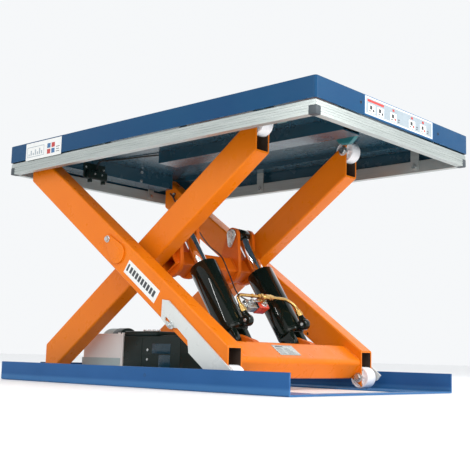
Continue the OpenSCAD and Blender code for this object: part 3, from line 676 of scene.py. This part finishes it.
KEEPER_FACE = LEG_OUTSIDE + 6
keep = Piece("centre_keepers", "outer_frame", "orange", "orange_paint", ["centre_pin_keepers"])
kb = Piece("keeper_bolts", "outer_frame", "zinc", "zinc_steel", ["centre_keeper_bolts"])
sb = Piece("strut_wing_bolts", "outer_frame", "zinc", "zinc_steel", ["strut_bolts"])
for side in (-1, 1):
    m = OUTER @ Matrix.Scale(side, 4, Y)
    keep.plate(link_outline((0, 0), 33, (-65, 12), 15, 28), LEG_OUTSIDE, KEEPER_FACE, m, r=1.6, seg=3)
    keep.lathe([(KEEPER_FACE, 17), (357.6, 16), (358, 14), (358, 0)], m, "Y", 48)
    kb.lathe([(KEEPER_FACE, 11), (357.5, 11), (357.9, 10.4), (357.9, 4)],
             m @ Matrix.Translation((-0.065, 0, 0.012)), "Y", 32)
    kb.hexagon((-65, 357.6, 12), 8.5, 5.5, m, "Y")
    sm = m @ Matrix.Translation((0.339, 0, -0.0354))
    sb.lathe([(340, 4.6), (368, 4.6), (369, 3.6), (369, 0)], sm, "Y", 24)
    sb.lathe([(356, 10.5), (357.6, 10.5), (358, 10), (358, 4)], sm, "Y", 32)
    sb.lathe([(357.6, 7.5), (364, 7), (365, 6), (365, 4)], sm, "Y", 28)
    for end in (-1, 1):
        wing = [(end * 4, -3), (end * 12, -5), (end * 17, 0), (end * 14, 5), (end * 6, 4)]
        sb.plate(wing[::end], 359, 362.5, sm, r=0.8)
keep.done()
kb.done()
sb.done()

pk = Piece("rod_pin_keeper_plates", "inner_frame", "zinc", "zinc_steel", ["rod_pin_keepers"])
for side in (-1, 1):
    y = side * CYL_Y_MM - 45
    pk.plate(link_outline((122, 43), 20, (98, 18), 9.5, 20), y - 5, y - 0.2, INNER, r=1.0, seg=3)
    pk.lathe([(y - 8.5, 0), (y - 8.5, 11), (y - 7.6, 12), (y - 4, 12)],
             INNER @ Matrix.Translation((0.122, 0, 0.043)), "Y", 40)
    pk.hexagon((98, -(y - 5), 18), 6.2, 3.5, INNER @ Matrix.Scale(-1, 4, Y), "Y")
pk.done()

# ---------------------------------------------------------------- cylinders

# along the stroke: the barrel's top, its end and the foot pivot
top_s, end_s, foot_s = 165.0, 415.0, 446.7
BARREL, CHEEK, ROD = 46, 25, 20
for side, word in ((-1, "near"), (1, "far")):
    m = cyl(side)
    p = Piece("barrel_" + word + "_tube", "barrels", "black_gloss", "black_paint",
              ["barrel_" + word] + (["barrel_glands"] if side > 0 else []), angle=30)
    p.lathe([(top_s + 1, 20.1), (top_s, 21.5), (top_s, 26), (top_s + 1.2, 27), (top_s + 1.2, 38.5), (top_s, 39.5),
             (top_s, 43.8), (top_s + 0.8, 45.2), (top_s + 2.4, BARREL), (end_s - 15, BARREL),
             (end_s - 13.5, BARREL), (end_s - 12.5, 45.4), (end_s - 11.5, BARREL), (end_s - 2.4, BARREL),
             (end_s - 0.8, 45.2), (end_s, 43.6), (end_s, 0)], m, "X", 96)
    cheek = [(end_s - 1, -CHEEK)]
    cheek += [(foot_s + CHEEK * sin(pi * i / 24), -CHEEK * cos(pi * i / 24)) for i in range(25)]
    cheek.append((end_s - 1, CHEEK))
    for y0, y1 in ((-36.5, -12.5), (12.5, 36.5)):
        p.plate(cheek, y0, y1, m, r=3.5, seg=4)
    for end in (-1, 1):
        em = m @ Matrix.Translation((foot_s * MM, 0, 0)) @ Matrix.Scale(end, 4, Y)
        p.lathe([(36, 13.5), (38, 13.5), (38.8, 12.6), (38.8, 0)], em, "Y", 36)
    p.weld_bead((end_s - 0.5, -37, 24), (end_s - 0.5, 37, 24), 2.6, m)
    p.weld_bead((end_s - 0.5, -37, -24), (end_s - 0.5, 37, -24), 2.6, m)
    for k in (0.25, 0.75):
        p.lathe([(top_s - 0.4, 0), (top_s - 0.4, 2.2), (top_s + 1.5, 2.2)],
                m @ Matrix.Translation((0, 0.0325 * cos(2 * pi * k), 0.0325 * sin(2 * pi * k))), "X", 12)
    p.done()

    p = Piece("piston_rod_" + word + "_bar", "rods", "chrome", "chrome_rod", ["piston_rod_" + word])
    p.lathe([(20, ROD - 0.8), (24, ROD), (238, ROD), (240, ROD - 1)], m, "X", 80)
    p.done()
    p = Piece("rod_eye_" + word, "rods", "black_gloss", "black_paint")
    p.lathe([(-25, 12.1), (-25, 21), (-24, 23.2), (-22, 24), (22, 24), (24, 23.2), (25, 21), (25, 12.1)],
            m, "Y", 64, closed=True)
    p.lathe([(14, 20.5), (21, 22.5), (25, 22), (27.5, 20.2)], m, "X", 48)
    p.done()

    p = Piece("port_block_" + word, "barrels", ["black_gloss", "zinc", "brass"], "black_paint",
              ["hydraulic_ports"] if side > 0 else ())
    at = m @ Matrix.Translation((0.413, 0, 0.063))
    p.lathe([(-11, 0), (-11, 14), (-10, 16.8), (-7, 18), (7, 18), (10, 16.8), (11, 14), (11, 0)], at, "Y", 48)
    p.box((396, -10.5, 38), (415, 10.5, 60), m, r=3, seg=3)
    p.lathe([(384, 9), (392, 10), (400, 12)], m @ Matrix.Translation((0, 0, 0.066)), "X", 32)
    p.lathe([(-13, 0), (-13, 4.6), (-12.4, 5.4), (-10.5, 5.6)], at, "Y", 24, 1)
    p.lathe([(-11.6, 8.5), (-12, 8), (-12, 7), (-11.4, 6.4)], at, "Y", 32)
    p.hexagon((371, 0, 66), 10.5, 13, m, "X", 2)
    p.hexagon((361, 0, 66), 8.4, 10, m, "X", 2)
    p.done()

# brass pipe: from one nut up, across through the tee, and down to the other nut
mid = cyl(0)
route = [(362, -CYL_Y_MM, 66), (350, -CYL_Y_MM, 66), (335, -136.5, 66.5), (325, -129, 67), (320.5, -117, 67),
         (320, -98, 67), (320, -40, 67), (320, 0, 67), (320, 60, 67), (320.5, 92, 67), (325, 109, 67),
         (334, 124, 66.5), (346, 135, 66), (362, CYL_Y_MM, 66)]
pipe = Piece("brass_pipe", "barrels", "brass", "brass", ["delivery_pipe"])
pipe.tube(smooth_path(route, 8), 5.2, mid, 20)
pipe.done()
fit = Piece("pipe_fittings", "barrels", "brass", "brass")
at = mid @ Matrix.Translation((0.320, 0, 0.067))
for y0, r, h in ((-36, 8.6, 9), (-26, 10.4, 12), (14, 10.4, 12), (27, 8.6, 9), (-66, 7.6, 8)):
    fit.hexagon((0, y0, 0), r, h, at, "Y")
fit.lathe([(-15, 6), (-15, 9), (-13.5, 9.8), (13.5, 9.8), (15, 9), (15, 6)], at, "Y", 32)
fit.lathe([(-24, 7.4), (-23, 8.2), (-6, 8.2), (0, 8.2)], at, "Z", 28)
fit.hexagon((0, 0, -22), 9.4, 9, at, "Z")
fit.done()

valve = Piece("valve_block", "barrels", "zinc", "zinc_steel", ["valve_body"])
valve.box((311, -64, 14), (343, -18.5, 38), mid, r=1.6, seg=3)
vm = mid @ Matrix.Translation((0.329, 0, 0.026))
valve.lathe([(-91, 0), (-91, 5), (-90, 7), (-84, 7), (-83, 9.4), (-76, 9.4), (-75, 8), (-71, 8), (-70, 10.5),
             (-64, 10.5)], vm, "Y", 40)
valve.hexagon((0, -80, 0), 10.5, 5, vm, "Y")
valve.lathe([(38, 0), (38, 7), (42, 7.6), (48, 7.6), (50, 6), (50, 0)],
            mid @ Matrix.Translation((0.322, -0.042, 0)), "Z", 28)
valve.hexagon((322, -42, 37), 9, 6, mid, "Z")
valve.tube([(320, -6, 44), (320, -30, 42), (322, -42, 44)], 4.2, mid, 16)
valve.done()
coil = Piece("solenoid_coil_case", "barrels", ["red_coil", "zinc", "black_plastic", "label_white"], "red_plastic",
             ["solenoid_coil"])
coil.box((310, -16, 9), (344, 32, 44), mid, r=3.2, seg=4)
coil.box((312, -18.4, 11), (342, -15, 42), mid, r=1, look=2)
coil.box((309, -8, 16), (311, 24, 38), mid, r=0.8, seg=2, look=2)
# the coil's nut stands on its outward face
at = mid @ Matrix.Translation((0.328, 0.010, 0))
coil.lathe([(43.5, 12.5), (45.4, 12.5), (46, 11.5), (46, 5)], at, "Z", 36, 1)
coil.hexagon((328, 10, 45.5), 10.5, 7, mid, "Z", 1)
coil.lathe([(52, 5), (54, 4.6), (55, 3.6), (55, 0)], at, "Z", 24, 1)
coil.done()

# black hose with its clip, from the valve to the near barrel
hose = Piece("pressure_hose", "barrels", ["rubber", "label_white"], "black_plastic")
hose.tube(smooth_path([(329, -70, 12), (330, -74, 2), (322, -80, -16), (304, -86, -34), (280, -92, -46),
                       (258, -98, -52), (240, -104, -54), (226, -112, -52), (218, -122, -47)], 8), 6.0, mid, 18)
hose.tube([(262, -97, -51), (250, -100.6, -53)], 6.6, mid, 18, look=1)
hose.done()

# ---------------------------------------------------------------- welds

# the inner frame's welds are in the orange with painted shade
w = Piece("welds_inner_frame", "inner_frame", "orange_dark", "orange_paint")
for side in (-1, 1):
    for y in (side * CYL_Y_MM - 45, side * CYL_Y_MM + 31):
        for yy in (y - 1, y + 15):
            w.weld_bead((12, yy, -17), (72, yy, -17), 2.8, INNER)
            w.weld_bead((73, yy, -20), (73, yy, -76), 2.8, INNER)
    y = side * 193
    w.weld_bead((12, y, -18), (72, y, -18), 3, INNER)
    w.weld_bead((12, y, -20), (12, y, -46), 3, INNER)
    w.weld_bead((73, y, -20), (73, y, -46), 3, INNER)
w.done()
w = Piece("welds_outer_frame", "outer_frame", "orange", "orange_paint")
for side in (-1, 1):
    y = side * 289.3
    w.weld_bead((491, y, 19.5), (559, y, 19.5), 3, OUTER)
    w.weld_bead((574, y, 4), (574, y, -38), 3, OUTER)
    w.weld_bead((476, y, 4), (476, y, -38), 3, OUTER)
    for yy in (side * CYL_Y_MM - 12.3, side * CYL_Y_MM + 12.3):
        w.weld_bead((475.5, yy, 5), (475.5, yy, -40), 2.8, OUTER)
w.done()

# bare steel inside the open tube ends, made near-black as painted shade, with room for the rollers
INNER_HALF, REACH, WALL = 42.4, 230, 5
END_X = mm(roller_x) + 11


def liners(name, body, frame_m, y_faces, wall):
    """Both sides and one wall (1 upper, -1 lower) of each leg's inside, from the end cut at END_X."""
    p = Piece(name, body, "raw_steel", "zinc_steel")
    inv = frame_m.inverted()
    d = frame_m.to_3x3() @ X

    def at(v, back_off, y):
        """Point on the wall at v, set back from the vertical end cut."""
        a = frame_m @ Vector((0, 0, v * MM))
        t = ((END_X - back_off) * MM - a.x) / d.x
        q = inv @ (a + t * d)
        return (q.x / MM, y, v)

    for y0 in y_faces:
        low_y, high_y = y0 + WALL, y0 + LEG_WIDTH - WALL
        for y in (low_y + 0.2, high_y - 0.6):
            quad = [at(-INNER_HALF, 0.6, y), at(INNER_HALF, 0.6, y), at(INNER_HALF, REACH, y),
                    at(-INNER_HALF, REACH, y)]
            other = [(x, y + 0.4, v) for x, _, v in quad]
            p.rings([quad, other], frame_m)
        w = wall * (INNER_HALF - 0.1)
        low_y, high_y = low_y + 0.7, high_y - 0.7
        quad = [at(w, 0.6, low_y), at(w, 0.6, high_y), at(w, REACH, high_y), at(w, REACH, low_y)]
        other = [(x, y, w - 0.5 * wall) for x, y, _ in quad]
        p.rings([quad, other], frame_m)
    p.done()


liners("outer_tube_insides", "outer_frame", OUTER, (-OUTER_LEG_FACE - LEG_WIDTH, OUTER_LEG_FACE), 1)
liners("inner_tube_insides", "inner_frame", INNER, (-INNER_LEG_FACE - LEG_WIDTH, INNER_LEG_FACE), -1)

# ---------------------------------------------------------------- labels and plates, all generic


def sheet_of(name, body, m, size, blocks, looks, t=0.25):
    """Thin label in its own frame: X across, Z up, facing -Y, with plain printed blocks on it."""
    p = Piece(name, body, looks, "plate_aluminium")
    wide, high = size
    p.box((0, -t, 0), (wide, 0, high), m, r=0.2, seg=1)
    for i, (x0, z0, x1, z1, look) in enumerate(blocks):
        p.box((x0, -t - 0.05 - 0.02 * i, z0), (x1, -t + 0.1, z1), m, r=0.02, seg=1, look=look)
    p.done()


def face_frame(origin, x, z):
    """Frame of a flat face: X across it, Z up it."""
    x, z = Vector(x).normalized(), Vector(z).normalized()
    return basis(Vector(origin) * MM, x, z.cross(x), z)


def shift(m, x, y, z):
    """Frame moved by millimetres along its own axes."""
    return m @ Matrix.Translation((x * MM, y * MM, z * MM))


# white panel along the near outer leg
bars = [(6, 10, 14, 34, 1)]
for i in range(9):
    bars.append((22 + 16 * i, 12, 33 + 16 * i, 32, 1))
sheet_of("leg_label", "outer_frame", shift(OUTER, 60, -LEG_OUTSIDE, -30), (174, 44), bars,
         ["label_white", "label_dark"])

rows = [(8, 10, 104, 12, 3), (8, 44, 104, 46, 3), (8, 12, 10, 44, 3), (102, 12, 104, 44, 3)]
for i in range(7):
    rows.append((16 + 12 * i, 16, 22 + 12 * i, 22 + (i * 11) % 20, 3))
rows += [(122, 30, 140, 46, 2), (146, 30, 164, 46, 4), (122, 10, 140, 26, 4), (146, 10, 164, 26, 2),
         (172, 12, 190, 14, 1), (172, 20, 188, 22, 1), (172, 28, 191, 30, 1)]
sheet_of("side_label", "platform", face_frame((-580, -400, 748), (1, 0, 0), (0, 0, 1)), (200, 60), rows,
         ["label_white", "label_dark", "label_blue", "label_grey", "label_red"])

panel = [(3, 2, 362, 52, 1), (7, 6, 358, 48, 2), (14, 38, 96, 45, 4)]
for x0, mark in ((18, 0), (62, 0), (128, 1), (228, 1), (290, 1)):
    panel += [(x0, 9, x0 + 34, 33, 1), (x0 + 4, 12, x0 + 14, 15, 3), (x0 + 8, 18, x0 + 20, 29, 3),
              (x0 + 22, 13, x0 + 30, 20, 4 if mark else 3)]
    if mark:
        panel += [(x0 + 12, 37, x0 + 22, 44, 4), (x0 + 40, 12, x0 + 48, 14, 3), (x0 + 40, 18, x0 + 50, 20, 3)]
sheet_of("picture_panel", "platform", face_frame((675, -182, 757), (0, 1, 0), (0, 0, 1)), (365, 54), panel,
         ["label_blue", "label_white", "label_grey", "label_dark", "label_red"])

plate = [(2, 2, 94, 3, 1), (2, 46, 94, 47, 1), (10, 38, 44, 43, 1)]
for i in range(5):
    plate += [(6, 6 + 6 * i, 32, 7.4 + 6 * i, 1), (44, 6 + 6 * i, 88 - 7 * i, 7.4 + 6 * i, 1)]
sheet_of("type_plate_print", "outer_frame",
         basis(OUTER @ Vector((0.549, -0.100, 0.0211)), Y, -(OUTER.to_3x3() @ Vector((0, 0, 1))),
               OUTER.to_3x3() @ Vector((-1, 0, 0))), (96, 49), plate, ["plate_pale", "label_dark"], t=0.3)

# two small holes beside the picture panel, each a near-black disc of painted shade inside a painted rim
holes = Piece("panel_hole_rims", "platform", ["hole_shade_black", "deck_blue"], "black_plastic")
for y, z in ((-199, 785), (214, 782)):
    at = Matrix.Translation((0, y * MM, z * MM))
    holes.lathe([(675.15, 0), (675.15, 4.6), (674.9, 4.8)], at, "X", 24)
    holes.lathe([(675.0, 4.4), (675.5, 4.8), (675.5, 5.6), (675.0, 6.2)], at, "X", 24, 1)
holes.done()

# ---------------------------------------------------------------- switch, clips and cables under the deck

sw = Piece("switch_details", "platform", ["black_plastic", "zinc", "rubber"], "black_plastic", ["bar_switch"])
sw.box((-560, -165, 730), (-556.5, -65, 786), r=0.8)
sw.box((-556, -158, 724), (-532, -72, 756), r=5, seg=4)
sw.box((-554, -150, 712), (-536, -140, 726), r=2, seg=3)
sw.box((-554, -88, 712), (-536, -78, 726), r=2, seg=3)
sw.lathe([(755, 9), (762, 9), (764, 7), (764, 0)], Matrix.Translation((-0.543, -0.115, 0)), "Z", 24)
for y, z in ((-156, 770), (-74, 770), (-132, 744), (-100, 744)):
    sw.hexagon((-556.6 if z > 760 else -532.5, y, z), 4, 2.5, axis="X", look=1)
for z in (796, 762):
    sw.hexagon((-560, 117, z), 6, 5, axis="X", look=1)
sw.done()

# teal tabs under the deck beside the upper rollers, shaped after a dark patch of shadow on the deck underside;
# their teal is painted shade
shade_tabs = Piece("roller_side_shade_tabs", "platform", "teal", "blue_paint")
tab = [(334, 806), (412, 806), (396, 790), (386, 784), (356, 784), (344, 791)]
for y in (-176, 158):
    shade_tabs.plate(tab, y, y + 18, WORLD, r=2, seg=3)
shade_tabs.done()

run = Piece("switch_cable", "platform", "rubber", "black_plastic")
run.tube(smooth_path([(-543, -115, 762), (-543, -113, 782), (-538, -100, 798), (-510, -78, 802),
                      (-450, -60, 802), (-380, -50, 802), (-310, -38, 801), (-280, -30, 800)], 8), 3.0, WORLD, 12)
run.done()

clips = Piece("leg_cable_clips", "outer_frame", ["rubber", "zinc"], "black_plastic")
for u, v in ((-540, 8), (-505, -4)):
    clips.box((u, 284, v), (u + 10, 290, v + 22), OUTER, r=2, seg=3)
    clips.hexagon((u + 5, -284, v + 16), 5, 3.5, OUTER @ Matrix.Scale(-1, 4, Y), "Y", 1)
clips.tube(smooth_path([(-553, 283, 17), (-546, 283, 15), (-534, 284, 14), (-515, 284, 6), (-496, 284, 2),
                        (-460, 285, -6), (-400, 286, -14), (-330, 287, -18)], 6), 3.0, OUTER, 12)
clips.done()

# thin cable: down the far outer leg's inner face, then across to the coil
cable = Piece("coil_cable", "outer_frame", "rubber", "black_plastic")
to_outer = OUTER.inverted()
on_leg = [OUTER @ (Vector(p) * MM) for p in ((-400, 286.5, -14), (-370, 286.5, -13), (-352, 283, -14))]
free = [Vector(p) * MM for p in ((-334, 215, 561), (-209, 120, 507), (-119, 60, 467), (-31, 20, 427),
                                 (5, 20, 371), (48, 10, 309), (75, 6, 289), (105, 4, 277), (130, 4, 272),
                                 (146, 4, 269))]
cable_path = smooth_path(on_leg + free, 10)
cable.tube([to_outer @ p / MM for p in cable_path], 2.2, OUTER, 12)
cable.done()

# ---------------------------------------------------------------- floor, light, world

FLOOR = 30
floor_mesh = bpy.data.meshes.new("floor")
corners = [(x * FLOOR, y * FLOOR, 0) for x, y in ((-1, -1), (1, -1), (1, 1), (-1, 1))]
floor_mesh.from_pydata(corners, [], [(0, 1, 2, 3)])
floor_mesh.materials.append(mats["floor_white"])
floor = bpy.data.objects.new("floor", floor_mesh)
bpy.context.scene.collection.objects.link(floor)
floor.location.z = -0.0005


def area(name, at_xyz, to_xyz, size, power, colour=(1, 1, 1), glossy=True, diffuse=True):
    """Soft rectangular light; glossy and diffuse say what it shows in."""
    data = bpy.data.lights.new(name, "AREA")
    data.shape = "RECTANGLE"
    data.size, data.size_y = size
    data.energy = power
    data.color = colour
    o = bpy.data.objects.new(name, data)
    o.matrix_world = Matrix.Translation(at_xyz) @ (
        Vector(to_xyz) - Vector(at_xyz)).to_track_quat("-Z", "Y").to_matrix().to_4x4()
    o.visible_glossy, o.visible_diffuse = glossy, diffuse
    bpy.context.scene.collection.objects.link(o)


area("key", (2.6, -3.2, 2.3), (0, 0, 0.4), (2.4, 1.8), 32, (1, 0.985, 0.96))
area("fill", (-3.0, -2.6, 1.2), (0, 0, 0.4), (2.6, 2.0), 9, glossy=False)
area("right", (3.2, 0.9, 2.1), (0.2, 0, 0.6), (1.6, 2.0), 60)
area("top", (0, 0.4, 3.4), (0, 0, 0), (3.5, 3.0), 22)
area("low_right", (2.6, -0.9, 0.55), (0.3, 0.1, 0.2), (0.9, 0.7), 12, glossy=False)
# the thin bright line along the barrels
area("strip", (-0.25, -3.3, 2.1), (0.12, -0.18, 0.3), (0.07, 3.6), 46, diffuse=False)
area("back", (-0.8, 3.4, 1.9), (0, 0, 0.5), (3.0, 2.0), 8)

world = bpy.data.worlds.new("world")
world.use_nodes = True
bg = world.node_tree.nodes["Background"]
bg.inputs[0].default_value = (0.97, 0.985, 1.0, 1)
bg.inputs[1].default_value = 0.95
bpy.context.scene.world = world
bpy.context.scene.view_settings.view_transform = "Standard"
